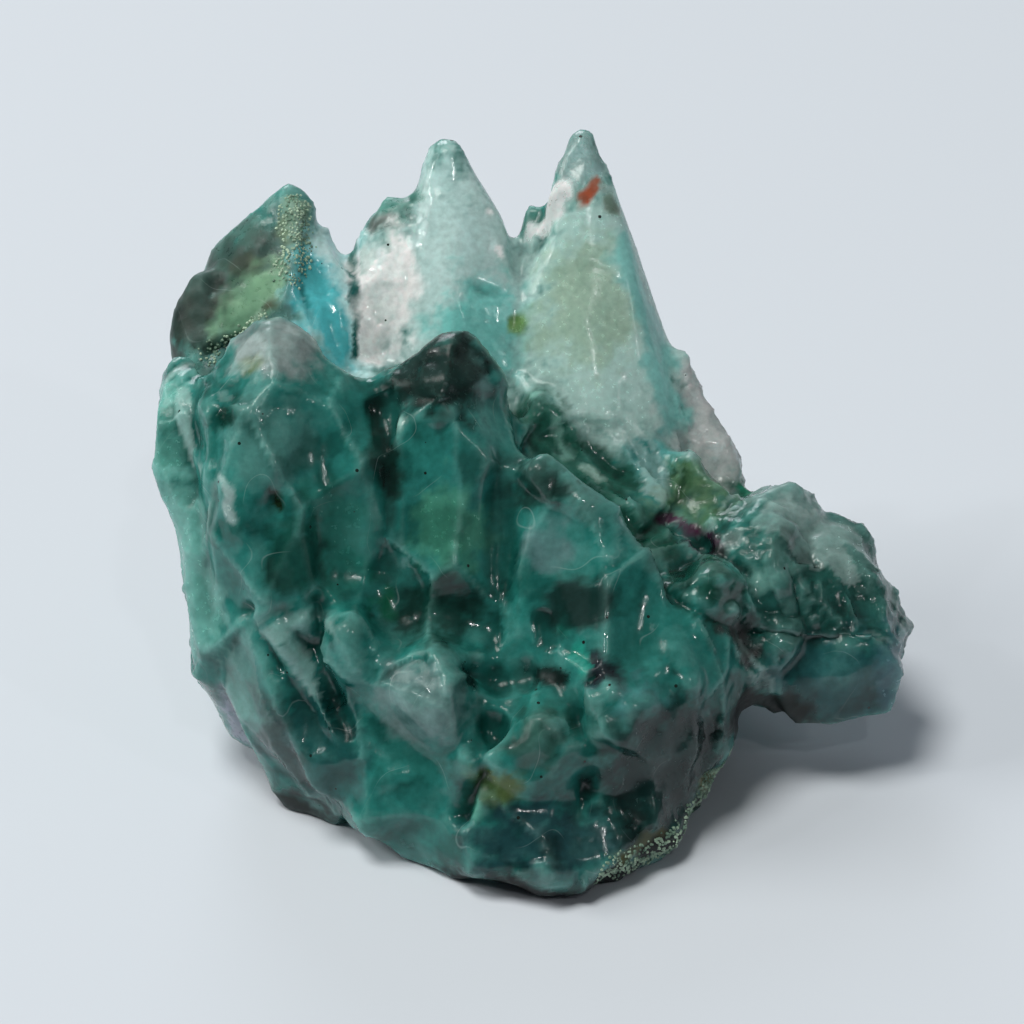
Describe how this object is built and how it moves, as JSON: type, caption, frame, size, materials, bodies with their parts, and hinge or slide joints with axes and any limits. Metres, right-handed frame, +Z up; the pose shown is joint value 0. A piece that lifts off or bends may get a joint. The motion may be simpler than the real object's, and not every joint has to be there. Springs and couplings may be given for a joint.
{
  "type": "raw green crystal cluster",
  "caption": "Chunky cluster of fused translucent green crystals: tall pale points behind a dark cloudy front wall, with a knobbly wing held clear of the table.",
  "frame": {"origin": "bottom middle of the cluster's box, on the flat underside it rests on", "axes": "+Z up, +X towards the wing, +Y towards the tall back crystals"},
  "size_m": [0.043, 0.0342, 0.03],
  "materials": {
    "crystal": "cloudy translucent green crystal, glossy broken faces"
  },
  "bodies": {
    "root": {"crystal_cluster": "crystal"}
  },
  "joints": []
}
